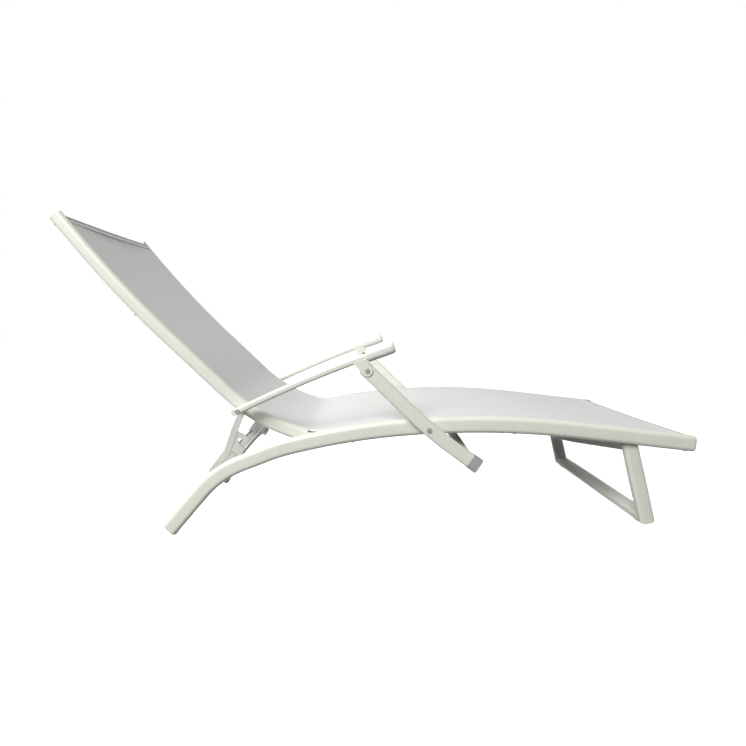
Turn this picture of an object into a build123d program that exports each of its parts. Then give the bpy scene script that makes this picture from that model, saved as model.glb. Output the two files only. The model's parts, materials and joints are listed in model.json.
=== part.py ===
"""A sling sun lounger whose armrests are linked to its reclining back.

Lengths are millimetres. +X points to the foot end, +Y to the sitter's left and +Z up. The origin is on the
floor, under the middle of the overall box. The model stands in the most upright position of the back.
"""
from build123d import *
import os
from math import atan2, cos, degrees, hypot, radians, sin, tan

# Overall frame
frame_width = 620.0
hinge_x = -154.74
hinge_height = 259.0
seat_length = 1078.0
rear_reach = 435.0
back_reach = 765.5
back_rise = 666.0

# Side rails of the bed. The shares are of rear_reach or seat_length, and of hinge_height.
rail_width = 26.0
rail_height = 39.0
rail_wall = 1.8
rear_route_shares = ((-1.0, 0.05), (-0.651, 0.717))
seat_route_shares = ((0.0267, 1.074), (0.4736, 1.188), (1.0, 0.907))
bed_bend_shares = (0.37, 0.72, 0.5)

# Back rails. The shares are of back_reach and back_rise.
back_rail_height = 31.0
back_route_shares = ((-1.0, 1.0), (-0.7404, 0.6381), (-0.2203, 0.0607), (0.0, 0.0))
back_bend_shares = (0.64, 0.857)
back_rail_gap = 2.0

# Sling channel on top of a rail
channel_width = 12.0
channel_rise = 8.0
channel_sink = 1.7
groove_diameter = 6.4
groove_slot = 2.4
seat_channel_start = 41.0
back_channel_end = 34.0

# Sling and the spline rods in its hems
sling_thickness = 1.2
sling_split = 0.8
hem_diameter = 5.8
spline_diameter = 3.6
spline_clearance = 0.1
sling_end_gap = 6.0
spline_inset = 4.0

# Plugs in the open tube ends
plug_depth = 22.0
plug_clearance = 0.1
foot_plug_rim = 1.0
foot_plug_thickness = 4.0
end_plug_dome = 9.0
end_plug_round = 7.0
head_plug_dome = 4.5
head_plug_round = 3.0

# Cross bars
bar_height = 30.0
bar_thickness = 18.0
bar_wall = 1.6
end_bar_inset = 17.0
seat_bar_shares = (0.092, 0.528)
back_bar_share = 0.36
bar_screw_diameter = 9.0
bar_screw_head = 1.6

# Front leg
leg_top_x = 919.0
leg_splay = 35.0
leg_inset = 18.0
leg_width = 40.0
leg_thickness = 25.0
leg_wall = 1.8
leg_bend_radius = 26.0
glide_height = 6.0
glide_length = 24.0
glide_width = 24.0
glide_offset = 28.0
gusset_length = 200.0
gusset_depth = 30.0
gusset_tip_depth = 14.0
gusset_thickness = 6.0
gusset_inset = 8.0

# Hinge between the bed and the back
hinge_pin_diameter = 10.0
hinge_pin_head_diameter = 18.0
hinge_pin_head = 3.0
hinge_pin_grip = 20.0
running_clearance = 0.05
washer_clearance = 0.35
washer_rim = 5.0

# Armrests. The shares are of arm_span, along and above the line between its pivots.
arm_pivot_distance = 243.0
arm_span = 382.0
arm_gap = 3.0
arm_width = 22.0
arm_height = 19.0
arm_round = 7.0
arm_wall = 1.5
arm_tail = 10.0
arm_route_shares = ((0.5754, 0.083), (1.244, 0.1086))
arm_bend_share = 0.85
arm_bolt_diameter = 8.0
bolt_head_diameter = 14.0
bolt_head_height = 3.5
bolt_socket_diameter = 5.0
bolt_socket_depth = 2.4
grip_length = 82.0
grip_width = 36.0
grip_height = 33.0
grip_round = 14.0
grip_end_round = 4.0
grip_socket_depth = 60.0
grip_clearance = 0.2

# Posts that carry the armrests. The bend lies just past the pivot on the bed rail.
post_span = 241.0
post_pivot_run = 317.0
post_thickness = 20.0
post_width = 40.0
post_round = 7.0
post_wall = 1.8
post_top = 14.0
post_top_round = 6.0
post_plug = 10.0
post_bend_offset = 10.0
post_bend_angle = 8.0
post_bend_share = 0.45
post_toe_length = 162.0
post_cap_length = 27.0
post_cap_wall = 1.2
post_cap_round = 2.0
post_cap_end = 3.0
post_bar_offset = 38.0
post_bar_lift = 2.0
post_bar_height = 28.0
post_bar_thickness = 18.0
post_bar_bow = 12.0
clevis_sheet = 3.0
clevis_side_gap = 0.4
clevis_radius = 15.5
clevis_ear_front = 9.0
clevis_ear_rear = 30.0
link_nut_height = 4.0
link_pin_play = 3.6

# Rack that holds the back up. Offsets are from its pivot: along X, then along Z.
rack_thickness = 8.0
rack_gap = 2.0
rack_spine_width = 20.0
rack_web_thickness = 5.0
rack_pivot_radius = 13.0
rack_neck = (-18.0, -42.0)
rack_waist = (-30.0, -70.0)
rack_knee = (-53.0, -134.0)
rack_toe = (-98.0, -191.0)
rack_finger_tip = (14.0, -94.0)
rack_last_tip = (-14.0, -152.0)
rack_heel = (-46.0, -188.0)
rack_slot_width = 13.4
rack_slot_angle = -48.6
rack_slot_starts = ((-15.0, -103.0), (-28.4, -136.5))
rack_slot_run = 60.0
rack_seat_angle = 25.0
rack_seat_clearance = 1.5
catch_offset = (-32.0, -166.5)
catch_rod_diameter = 12.0
catch_bracket_width = 30.0
catch_bracket_drop = 46.0
catch_bracket_lean = -20.0
catch_bracket_thickness = 8.0
tie_rod_diameter = 10.0
tie_rod_collar = 3.0
tie_rod_collar_diameter = 16.0

# Anything larger than the lounger, for cuts
overrun = 3000.0

half_width = frame_width / 2
rail_y = half_width - rail_width / 2
back_rail_y = rail_y - rail_width - back_rail_gap
arm_y = half_width + arm_gap + arm_width / 2
rack_y = back_rail_y - rail_width / 2 - rack_gap - rack_thickness / 2
leg_y = rail_y - leg_inset
RIGHT = -1
LEFT = 1
SIDES = {"right": RIGHT, "left": LEFT}


def bend_radii(points, bend_shares):
    """Radius of each inner corner, whose bend takes its share of the shorter run beside it."""
    radii = []
    for before, corner, after, share in zip(points, points[1:], points[2:], bend_shares):
        run_in = Vector(*corner) - Vector(*before)
        run_out = Vector(*after) - Vector(*corner)
        turn = radians(run_in.get_angle(run_out))
        radii.append(share * min(run_in.length, run_out.length) / tan(turn / 2))
    return radii


def side_route(points, bend_shares, y):
    """Straight runs joined by tangent arcs, in the upright plane at y."""
    corners = [(x, y, z) for x, z in points]
    return FilletPolyline(*corners, radius=bend_radii(corners, bend_shares))


def side_sweep(section, route):
    """Sweep a section whose first axis lies along Y and whose second axis points up."""
    start = Plane(origin=route @ 0, x_dir=(0, 1, 0), z_dir=route % 0)
    return sweep(start * section, path=route)


def side_plate(outline, y, thickness):
    """Extrude an outline drawn in X and Z by equal amounts to each side of y."""
    middle = Plane(origin=(0, y, 0), x_dir=(1, 0, 0), z_dir=(0, -1, 0))
    return extrude(middle * outline, thickness / 2, both=True)


def across(section, point, angle, y_from, y_to):
    """Extrude a section along Y through a point in the side view, turned by an angle."""
    x, z = point
    along = (cos(radians(angle)), 0, sin(radians(angle)))
    start = Plane(origin=(x, y_from, z), x_dir=along, z_dir=(0, 1, 0))
    return extrude(start * section, y_to - y_from)


def pin(point, diameter, y_from, y_to):
    """A round pin or a drill along Y."""
    return across(Circle(diameter / 2), point, 0, y_from, y_to)


def box_beyond(x):
    """All space towards the foot end of x."""
    return Pos(x + overrun / 2, 0, 0) * Box(overrun, overrun, overrun)


def mirrored(part):
    """The left-hand twin of a right-hand piece."""
    return mirror(part, about=Plane.XZ)


def side_point(route, distance):
    """Point in the side view at a distance along a route, and the slope there in degrees."""
    share = distance / route.length
    point = route @ share
    tangent = route % share
    return (point.X, point.Z), degrees(atan2(tangent.Z, tangent.X))


def moved(point, angle, distance, rise=0):
    """Step along a slope and then square to it."""
    run = (cos(radians(angle)), sin(radians(angle)))
    return (point[0] + run[0] * distance - run[1] * rise, point[1] + run[1] * distance + run[0] * rise)


# Routes of the bed rails and the back rails in the side view

def bed_points():
    rear = [(hinge_x + x * rear_reach, z * hinge_height) for x, z in rear_route_shares]
    seat = [(hinge_x + x * seat_length, z * hinge_height) for x, z in seat_route_shares]
    return rear + seat


def back_points():
    return [(hinge_x + x * back_reach, hinge_height + z * back_rise) for x, z in back_route_shares]


def bed_route(y):
    return side_route(bed_points(), bed_bend_shares, y)


def back_route(y):
    return side_route(back_points(), back_bend_shares, y)


bed_line = bed_route(0)
back_line = back_route(0)


def bed_at(x):
    """Point of the bed rail's middle line at x, with its slope and its distance along the rail."""
    low, high = 0.0, 1.0
    for _ in range(40):
        middle = (low + high) / 2
        if (bed_line @ middle).X < x:
            low = middle
        else:
            high = middle
    distance = low * bed_line.length
    point, slope = side_point(bed_line, distance)
    return point, slope, distance


hinge = bed_at(hinge_x)[0]
arm_pivot, back_slope = side_point(back_line, back_line.length - arm_pivot_distance)
post_pivot = bed_at(hinge_x + post_pivot_run)[0]


def link_pin_place():
    """Where the arm and the post meet: both spans end there."""
    dx = post_pivot[0] - arm_pivot[0]
    dz = post_pivot[1] - arm_pivot[1]
    apart = hypot(dx, dz)
    along = (arm_span**2 - post_span**2 + apart**2) / (2 * apart)
    above = (arm_span**2 - along**2) ** 0.5
    return moved(arm_pivot, degrees(atan2(dz, dx)), along, above)


link_pin = link_pin_place()
arm_angle = degrees(atan2(link_pin[1] - arm_pivot[1], link_pin[0] - arm_pivot[0]))
post_angle = degrees(atan2(post_pivot[1] - link_pin[1], post_pivot[0] - link_pin[0]))
catch_rod_place = (arm_pivot[0] + catch_offset[0], arm_pivot[1] + catch_offset[1])


# Sections

def oval(width, height):
    """A flat oval that stands on its narrow end."""
    return SlotOverall(height, width, rotation=90)


def tube_section(width, height, wall):
    return oval(width, height) - oval(width - 2 * wall, height - 2 * wall)


def channel_section(height, inward):
    """Rib on a rail of this height, with the groove for the hem and its slot to the inside."""
    middle = height / 2 + channel_rise / 2
    rib = Pos(0, middle - channel_sink / 2) * Rectangle(channel_width, channel_rise + channel_sink)
    groove = Pos(0, middle) * Circle(groove_diameter / 2)
    slot = Pos(inward * channel_width / 2, middle) * Rectangle(channel_width, groove_slot)
    return rib - groove - slot


# Outer forms of the right-hand rails, without their bores

bed_body = side_sweep(oval(rail_width, rail_height), bed_route(-rail_y))
back_body = side_sweep(oval(rail_width, back_rail_height), back_route(-back_rail_y))


# Bed frame

def bed_rail():
    route = bed_route(-rail_y)
    tube = side_sweep(tube_section(rail_width, rail_height, rail_wall), route)
    channel = side_sweep(channel_section(rail_height, LEFT), route)
    channel = channel & box_beyond(hinge_x + seat_channel_start)
    rail = tube + channel
    inner_face = -rail_y + rail_width / 2
    rail -= pin(hinge, hinge_pin_diameter + 2 * running_clearance, inner_face - hinge_pin_grip, inner_face + overrun)
    rail -= pin(post_pivot, arm_bolt_diameter + 2 * running_clearance, -overrun, -rail_y + rail_width)
    return rail


def end_plane(route, share, outward):
    """Plane across a route, facing out of the tube."""
    tangent = route % share
    return Plane(origin=route @ share, x_dir=(0, 1, 0), z_dir=tangent * outward)


def plug(route, share, outward, height, wall, rim, dome, rounding):
    """Tube end plug: a spigot in the bore and a rounded head outside."""
    plane = end_plane(route, share, outward)
    bore = 2 * (wall + plug_clearance)
    spigot = extrude(plane * oval(rail_width - bore, height - bore), -plug_depth)
    head = extrude(plane * oval(rail_width + 2 * rim, height + 2 * rim), dome)
    outer = head.faces().sort_by(Axis(plane.origin, plane.z_dir))[-1]
    head = fillet(outer.edges(), rounding)
    return head + spigot


def rear_foot():
    """Plug in the foot of the rear leg, cut level with the floor."""
    foot = plug(
        bed_route(-rail_y), 0, -1, rail_height, rail_wall, foot_plug_rim, foot_plug_thickness, foot_plug_rim
    )
    above_floor = Pos(0, 0, overrun / 2) * Box(overrun, overrun, overrun)
    return foot & above_floor


def rail_end_plug():
    return plug(bed_route(-rail_y), 1, 1, rail_height, rail_wall, 0, end_plug_dome, end_plug_round)


def cross_bar(point, slope, body, half_span):
    """Flat-oval tube across the lounger, its ends shaped to the sides of two rails."""
    section = tube_section(bar_thickness, bar_height, bar_wall)
    return across(section, point, slope - 90, -half_span, half_span) - body - mirrored(body)


def bed_bar_places():
    """Point and slope of each bar between the bed rails."""
    places = [side_point(bed_line, bed_line.length - end_bar_inset)]
    return places + [bed_at(hinge_x + share * seat_length)[:2] for share in seat_bar_shares]


def back_bar_places():
    """Point and slope of each bar between the back rails."""
    return [side_point(back_line, end_bar_inset), side_point(back_line, back_bar_share * back_line.length)]


def bar_screw(place, height, body, y):
    """Button head under a rail, seated on its rounded underside."""
    point, slope = place
    low = moved(point, slope, 0, -height / 2 - bar_screw_head)
    down = (sin(radians(slope)), 0, -cos(radians(slope)))
    face = Plane(origin=(low[0], y, low[1]), x_dir=(0, 1, 0), z_dir=down)
    head = extrude(face * Circle(bar_screw_diameter / 2), -2 * bar_screw_head - rail_wall)
    rim = head.faces().sort_by(Axis(face.origin, face.z_dir))[-1]
    head = fillet(rim.edges(), bar_screw_head / 2)
    return head - body


def leg_corner_points():
    """Corners of the front leg's U on the right, from the rail down."""
    top = bed_at(leg_top_x + hinge_x)[0]
    floor_z = glide_height + leg_thickness / 2
    return (top[0], top[1]), (top[0] + leg_splay, floor_z)


def leg_sweep(section):
    """Sweep a section down the right side, across and up the left."""
    (top_x, top_z), (low_x, low_z) = leg_corner_points()
    corners = [(top_x, -leg_y, top_z), (low_x, -leg_y, low_z), (low_x, leg_y, low_z), (top_x, leg_y, top_z)]
    route = FilletPolyline(*corners, radius=leg_bend_radius)
    start = Plane(origin=route @ 0, x_dir=(0, 1, 0), z_dir=route % 0)
    return sweep(start * section, path=route)


def leg_frame():
    tube = leg_sweep(tube_section(leg_thickness, leg_width, leg_wall)) - bed_body - mirrored(bed_body)
    return max(tube.solids(), key=lambda piece: piece.volume)


def leg_glide():
    """Glide under the leg, shaped to its underside."""
    low_x = leg_corner_points()[1][0]
    place = Pos(low_x, -leg_y + glide_offset, glide_height)
    block = place * Box(glide_width, glide_length, 2 * glide_height)
    return block - leg_sweep(oval(leg_thickness, leg_width))


def leg_gusset():
    """Tapered plate between the rail and the head side of the leg."""
    top_x, top_z = leg_corner_points()[0]
    under_leg = bed_at(top_x)[0][1] - rail_height / 2 - gusset_depth
    tip_x = top_x - gusset_length
    tip_z = bed_at(tip_x)[0][1]
    under_tip = tip_z - rail_height / 2 - gusset_tip_depth
    outline = make_face(
        Polyline((tip_x, under_tip), (top_x, under_leg), (top_x, top_z), (tip_x, tip_z), close=True)
    )
    plate = side_plate(outline, -rail_y + gusset_inset, gusset_thickness)
    return plate - bed_body - leg_sweep(oval(leg_thickness, leg_width))


def catch_rod():
    reach = half_width - rail_width
    return pin(catch_rod_place, catch_rod_diameter, -reach, reach)


def catch_bracket():
    """Lug on the inner face of the rear leg that the catch rod goes through."""
    top = catch_rod_place
    low = moved(top, catch_bracket_lean - 90, catch_bracket_drop)
    radius = catch_bracket_width / 2
    outline = Pos(*top) * Circle(radius) + Pos(*low) * Circle(radius * 0.6)
    outline = make_hull(outline.edges())
    inner_face = -half_width + rail_width
    plate = side_plate(outline, inner_face + catch_bracket_thickness / 2, catch_bracket_thickness)
    bore = catch_rod_diameter + 2 * running_clearance
    return plate - pin(catch_rod_place, bore, -overrun, overrun)


def hinge_pin():
    """Pin from inside the back rail into the bed rail."""
    inner_face = -rail_y + rail_width / 2
    head_seat = -back_rail_y + rail_width / 2 + washer_clearance
    shaft = pin(hinge, hinge_pin_diameter, inner_face - hinge_pin_grip + washer_clearance, head_seat)
    return shaft + pin(hinge, hinge_pin_head_diameter, head_seat, head_seat + hinge_pin_head)


def ring(point, bore, rim, y_from, y_to):
    """Washer or spacer tube along Y."""
    return pin(point, bore + 2 * rim, y_from, y_to) - pin(point, bore, y_from, y_to)


def hinge_washer():
    inner_face = -rail_y + rail_width / 2
    bore = hinge_pin_diameter + 2 * running_clearance
    return ring(hinge, bore, washer_rim, inner_face, inner_face + back_rail_gap - washer_clearance)


def bolt(point, y_head, y_end):
    """Cap bolt along Y with a hexagon socket, its head towards y_head."""
    outward = 1 if y_head > y_end else -1
    low, high = sorted((y_head, y_end))
    shaft = pin(point, arm_bolt_diameter, low, high)
    cap_low, cap_high = sorted((y_head, y_head + outward * bolt_head_height))
    cap = pin(point, bolt_head_diameter, cap_low, cap_high)
    rim = cap.faces().sort_by(Axis.Y)[-1 if outward > 0 else 0]
    cap = fillet(rim.edges(), bolt_head_height / 2)
    socket_low, socket_high = sorted(
        (y_head + outward * (bolt_head_height - bolt_socket_depth), y_head + outward * overrun)
    )
    socket = across(RegularPolygon(bolt_socket_diameter / 2, 6), point, 0, socket_low, socket_high)
    return shaft + cap - socket


def post_bolt():
    outer = -arm_y - post_thickness / 2 - washer_clearance
    return bolt(post_pivot, outer, -rail_y + rail_width / 2)


def post_spacer():
    inner = -arm_y + post_thickness / 2 + washer_clearance
    bore = arm_bolt_diameter + 2 * running_clearance
    return ring(post_pivot, bore, washer_rim, inner, -half_width)


# Back

def back_rail():
    route = back_route(-back_rail_y)
    tube = side_sweep(tube_section(rail_width, back_rail_height, rail_wall), route)
    channel = side_sweep(channel_section(back_rail_height, LEFT), route)
    stop_x = side_point(back_line, back_line.length - back_channel_end)[0][0]
    channel = channel - box_beyond(stop_x)
    knuckle = pin(hinge, back_rail_height, -back_rail_y - rail_width / 2, -back_rail_y + rail_width / 2)
    rail = tube + channel + knuckle
    rail -= pin(hinge, hinge_pin_diameter + 2 * running_clearance, -overrun, 0)
    rail -= pin(arm_pivot, arm_bolt_diameter + 2 * running_clearance, -overrun, 0)
    return rail


def head_plug():
    return plug(back_route(-back_rail_y), 0, -1, back_rail_height, rail_wall, 0, head_plug_dome, head_plug_round)


def arm_bolt():
    """Through the arm, its spacer, the back rail and the rack plate."""
    outer = -arm_y - arm_width / 2 - washer_clearance
    inner = -rack_y + rack_thickness / 2 + washer_clearance
    shaft = bolt(arm_pivot, outer, inner)
    return shaft + pin(arm_pivot, hinge_pin_head_diameter, inner, inner + hinge_pin_head)


def arm_spacer():
    bore = arm_bolt_diameter + 2 * running_clearance
    inner = -back_rail_y - rail_width / 2
    return ring(arm_pivot, bore, washer_rim, -arm_y + arm_width / 2 + washer_clearance, inner)


def rack_washer():
    bore = arm_bolt_diameter + 2 * running_clearance
    inner = -back_rail_y + rail_width / 2
    return ring(arm_pivot, bore, washer_rim, inner, inner + rack_gap - washer_clearance)


# Sling

def sling_section(height, groove_y):
    """Sheet between the grooves, with a hollow hem in each."""
    middle = height / 2 + channel_rise / 2
    sheet = Pos(0, middle) * Rectangle(2 * groove_y, sling_thickness)
    for side in SIDES.values():
        sheet += Pos(side * groove_y, middle) * Circle(hem_diameter / 2)
    for side in SIDES.values():
        sheet -= Pos(side * groove_y, middle) * Circle(spline_diameter / 2 + spline_clearance)
    return sheet


def spline_section(height, groove_y):
    middle = height / 2 + channel_rise / 2
    return Pos(groove_y, middle) * Circle(spline_diameter / 2)


def seat_part(section, start_x):
    """Sweep along the bed rails, from start_x to just short of the foot end."""
    end_x = (bed_line @ 1).X - sling_end_gap
    return (side_sweep(section, bed_line) & box_beyond(start_x)) - box_beyond(end_x)


def seat_spline():
    """Rod in the right hem, from just inside the channel to just short of its end."""
    start = bed_at(hinge_x + seat_channel_start + spline_inset)[2] / bed_line.length
    end = 1 - sling_end_gap / bed_line.length
    return side_sweep(spline_section(rail_height, -rail_y), bed_line.trim(start, end))


def back_part(section):
    """Sweep along the back rails, from just below the head end to the hinge."""
    head = Plane(origin=back_line @ 0, x_dir=(0, 1, 0), z_dir=back_line % 0)
    above = head.offset(sling_end_gap) * Pos(0, 0, -overrun / 2) * Box(overrun, overrun, overrun)
    return side_sweep(section, back_line) - above - box_beyond(hinge_x - sling_split)


# Rack

def rack():
    """Plate with a thick spine and hooked fingers that open towards the seat."""
    spine = Sketch() + Circle(rack_pivot_radius)
    spine_points = ((0, 0), rack_neck, rack_waist, rack_knee, rack_toe)
    for high, low in zip(spine_points, spine_points[1:]):
        spine += capsule(high, low, rack_spine_width)
    fingers = make_face(
        Polyline(rack_waist, rack_finger_tip, rack_last_tip, rack_heel, rack_toe, rack_knee, close=True)
    )
    slots = Sketch()
    for start in rack_slot_starts:
        slots += capsule(start, moved(start, rack_slot_angle, rack_slot_run), rack_slot_width)
    seat_width = catch_rod_diameter + 2 * rack_seat_clearance
    slots += capsule(catch_offset, moved(catch_offset, rack_seat_angle, rack_slot_run), seat_width)
    place = Pos(*arm_pivot)
    plate = side_plate(place * (fingers - slots), -rack_y, rack_web_thickness)
    plate += side_plate(place * (spine - slots), -rack_y, rack_thickness)
    plate -= pin(arm_pivot, arm_bolt_diameter + 2 * running_clearance, -overrun, 0)
    return plate - pin(rack_toe_place, tie_rod_diameter, -overrun, 0)


def capsule(start, end, width):
    """Flat slot shape between two centres."""
    length = hypot(end[0] - start[0], end[1] - start[1])
    middle = ((start[0] + end[0]) / 2, (start[1] + end[1]) / 2, 0)
    angle = degrees(atan2(end[1] - start[1], end[0] - start[0]))
    return Location(middle, (0, 0, angle)) * SlotCenterToCenter(length, width)


rack_toe_place = (arm_pivot[0] + rack_toe[0], arm_pivot[1] + rack_toe[1])


def tie_rod():
    """Rod between the toes of the racks, with a collar inside each."""
    reach = rack_y + rack_thickness / 2
    rod = pin(rack_toe_place, tie_rod_diameter, -reach, reach)
    face = rack_y - rack_thickness / 2 - washer_clearance
    for low, high in ((-face, -face + tie_rod_collar), (face - tie_rod_collar, face)):
        rod += pin(rack_toe_place, tie_rod_collar_diameter, low, high)
    return rod


# Armrest on the right

def arm_points():
    corner_share, front_share = arm_route_shares
    corner = moved(arm_pivot, arm_angle, corner_share[0] * arm_span, corner_share[1] * arm_span)
    front = moved(arm_pivot, arm_angle, front_share[0] * arm_span, front_share[1] * arm_span)
    lean = degrees(atan2(corner[1] - arm_pivot[1], corner[0] - arm_pivot[0]))
    tail = moved(arm_pivot, lean, -arm_tail)
    return tail, corner, front


def arm_route():
    return side_route(arm_points(), (arm_bend_share,), -arm_y)


def arm_bar():
    route = arm_route()
    outer = RectangleRounded(arm_width, arm_height, arm_round)
    inner = RectangleRounded(arm_width - 2 * arm_wall, arm_height - 2 * arm_wall, arm_round - arm_wall)
    bar = side_sweep(outer - inner, route)
    front = end_plane(route, 1, 1).offset(-grip_length + grip_socket_depth)
    bar -= front * Pos(0, 0, overrun / 2) * Box(overrun, overrun, overrun)
    tail = ((route @ 0).X, (route @ 0).Z)
    bar += pin(tail, arm_height, -arm_y - arm_width / 2, -arm_y + arm_width / 2)
    return bar - pin(arm_pivot, arm_bolt_diameter + 2 * running_clearance, -overrun, 0)


def arm_grip():
    """Thicker hand grip that sleeves the front of the arm bar."""
    front = end_plane(arm_route(), 1, 1)
    body = extrude(front * RectangleRounded(grip_width, grip_height, grip_round), -grip_length)
    ends = body.faces().sort_by(Axis(front.origin, front.z_dir))
    body = fillet(ends[0].edges() + ends[-1].edges(), grip_end_round)
    rear = front.offset(-grip_length)
    socket = RectangleRounded(arm_width + 2 * grip_clearance, arm_height + 2 * grip_clearance, arm_round)
    return body - extrude(rear * socket, grip_socket_depth + grip_clearance)


def arm_bar_body():
    return side_sweep(RectangleRounded(arm_width, arm_height, arm_round), arm_route())


def clevis():
    """Folded bracket under the arm bar that straddles the top of the post."""
    _, corner, front = arm_points()
    slope = degrees(atan2(front[1] - corner[1], front[0] - corner[0]))
    normal = (-sin(radians(slope)), cos(radians(slope)))
    rise = (corner[0] - link_pin[0]) * normal[0] + (corner[1] - link_pin[1]) * normal[1] - arm_height / 2
    sheet_top = rise + clevis_sheet
    ear = Polyline(
        moved(link_pin, slope, -clevis_radius),
        moved(link_pin, slope, clevis_radius),
        moved(link_pin, slope, clevis_ear_front, sheet_top),
        moved(link_pin, slope, -clevis_ear_rear, sheet_top),
        close=True,
    )
    outline = make_face(ear) + Pos(*link_pin) * Circle(clevis_radius)
    inside = post_thickness + 2 * clevis_side_gap
    shell = side_plate(outline, -arm_y, inside + 2 * clevis_sheet)
    space = moved(link_pin, slope, 0, rise - clevis_sheet - overrun / 2)
    shell -= across(Rectangle(overrun, overrun), space, slope, -arm_y - inside / 2, -arm_y + inside / 2)
    return shell - arm_bar_body() - pin(link_pin, arm_bolt_diameter, -overrun, 0)


def arm_link_bolt():
    """Bolt through both cheeks of the clevis, with a nut inside."""
    reach = post_thickness / 2 + clevis_side_gap + clevis_sheet
    nut = pin(link_pin, bolt_head_diameter, -arm_y + reach, -arm_y + reach + link_nut_height)
    return bolt(link_pin, -arm_y - reach, -arm_y + reach) + nut


# Post frame

def post_points():
    top = moved(link_pin, post_angle, -post_top)
    bend = moved(post_pivot, post_angle, post_bend_offset)
    toe = moved(bend, post_angle + post_bend_angle, post_toe_length)
    return top, bend, toe


def post_route():
    return side_route(post_points(), (post_bend_share,), -arm_y)


def post_section(grow):
    return RectangleRounded(post_thickness + 2 * grow, post_width + 2 * grow, post_round + grow)


def post():
    """Bent tube with a rounded solid top."""
    route = post_route()
    body = side_sweep(post_section(0), route)
    top = end_plane(route, 0, -1)
    rim = body.faces().sort_by(Axis(top.origin, top.z_dir))[-1]
    body = fillet(rim.edges(), post_top_round)
    bore = side_sweep(post_section(-post_wall), route)
    body -= bore - top.offset(-post_plug) * Pos(0, 0, overrun / 2) * Box(overrun, overrun, overrun)
    body -= pin(link_pin, arm_bolt_diameter + 2 * link_pin_play, -overrun, 0)
    return body - pin(post_pivot, arm_bolt_diameter + 2 * running_clearance, -overrun, 0)


def post_cap():
    """Grey sleeve over the lower end of the post."""
    toe = end_plane(post_route(), 1, 1)
    body = extrude(toe * post_section(post_cap_wall), -post_cap_length)
    body += extrude(toe * post_section(post_cap_wall), post_cap_end)
    rim = body.faces().sort_by(Axis(toe.origin, toe.z_dir))[-1]
    body = fillet(rim.edges(), post_cap_round)
    return body - extrude(toe * post_section(0), -post_cap_length)


def post_cross_bar():
    """Bowed flat-oval bar between the two posts."""
    slope = post_angle + post_bend_angle
    x, z = moved(post_points()[2], slope, -post_bar_offset, post_bar_lift)
    mid_x, mid_z = moved((x, z), slope, 0, post_bar_bow)
    reach = arm_y - post_thickness / 2 + post_round
    route = ThreePointArc((x, -reach, z), (mid_x, 0, mid_z), (x, reach, z))
    along = (cos(radians(slope)), 0, sin(radians(slope)))
    start = Plane(origin=route @ 0, x_dir=along, z_dir=route % 0)
    bar = sweep(start * tube_section(post_bar_thickness, post_bar_height, bar_wall), path=route)
    return bar & Box(overrun, 2 * arm_y - post_thickness, overrun)


# All pieces, each with the name of its file

pieces = {}


def add_both(name, right_piece):
    """Keep a right-hand piece and its left-hand twin."""
    pieces[f"{name}_right"] = right_piece
    pieces[f"{name}_left"] = mirrored(right_piece)


def pair(right_piece):
    """A right-hand piece and its left-hand twin as one node."""
    return Compound(children=[Part() + right_piece, Part() + mirrored(right_piece)])


def group(members):
    return Compound(children=[Part() + member for member in members])


add_both("base_rail", bed_rail())
add_both("rear_foot", rear_foot())
add_both("rail_end_plug", rail_end_plug())
bar_names = ("foot_end_bar", "seat_bar_rear", "seat_bar_front")
for name, (point, slope) in zip(bar_names, bed_bar_places()):
    pieces[name] = cross_bar(point, slope, bed_body, rail_y)
pieces["leg_frame"] = leg_frame()
pieces["leg_glides"] = pair(leg_glide())
add_both("leg_gusset", leg_gusset())
pieces["catch_rod"] = catch_rod()
add_both("catch_bracket", catch_bracket())
pieces["hinge_pins"] = pair(hinge_pin())
pieces["hinge_washers"] = pair(hinge_washer())
add_both("post_bolt", post_bolt())
pieces["post_spacers"] = pair(post_spacer())
bed_screws = [bar_screw(place, rail_height, bed_body, -rail_y) for place in bed_bar_places()]
pieces["frame_screws"] = group(bed_screws + [mirrored(screw) for screw in bed_screws])
pieces["seat_sling"] = seat_part(sling_section(rail_height, rail_y), hinge_x + sling_split)
pieces["seat_splines"] = pair(seat_spline())

add_both("back_rail", back_rail())
add_both("head_plug", head_plug())
for name, (point, slope) in zip(("head_bar", "back_bar"), back_bar_places()):
    pieces[name] = cross_bar(point, slope, back_body, back_rail_y)
add_both("arm_bolt", arm_bolt())
pieces["arm_spacers"] = pair(arm_spacer())
pieces["rack_washers"] = pair(rack_washer())
back_screws = [bar_screw(place, back_rail_height, back_body, -back_rail_y) for place in back_bar_places()]
pieces["back_screws"] = group(back_screws + [mirrored(screw) for screw in back_screws])
pieces["back_sling"] = back_part(sling_section(back_rail_height, back_rail_y))
pieces["back_splines"] = pair(back_part(spline_section(back_rail_height, -back_rail_y)))

add_both("rack", rack())
pieces["rack_tie_rod"] = tie_rod()

add_both("arm_bar", arm_bar())
add_both("arm_grip", arm_grip())
add_both("arm_clevis", clevis())
add_both("arm_link_bolt", arm_link_bolt())

add_both("post", post())
add_both("post_cap", post_cap())
pieces["post_cross_bar"] = post_cross_bar()

os.makedirs("parts", exist_ok=True)
for name, piece in pieces.items():
    piece.label = name
    export_step(piece, f"parts/{name}.step")
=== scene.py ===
"""Looks of a white sling sun lounger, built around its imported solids.

Run as a script: it loads the solids as a fixed frame, makes the rails with their end caps, the front leg, the
sling with its hems and the hand grips, gives every piece its finish and sets the stage.
"""
import json
import math

import bmesh
import bpy
from bpy.props import FloatProperty, PointerProperty, StringProperty
from mathutils import Matrix, Vector


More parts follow.
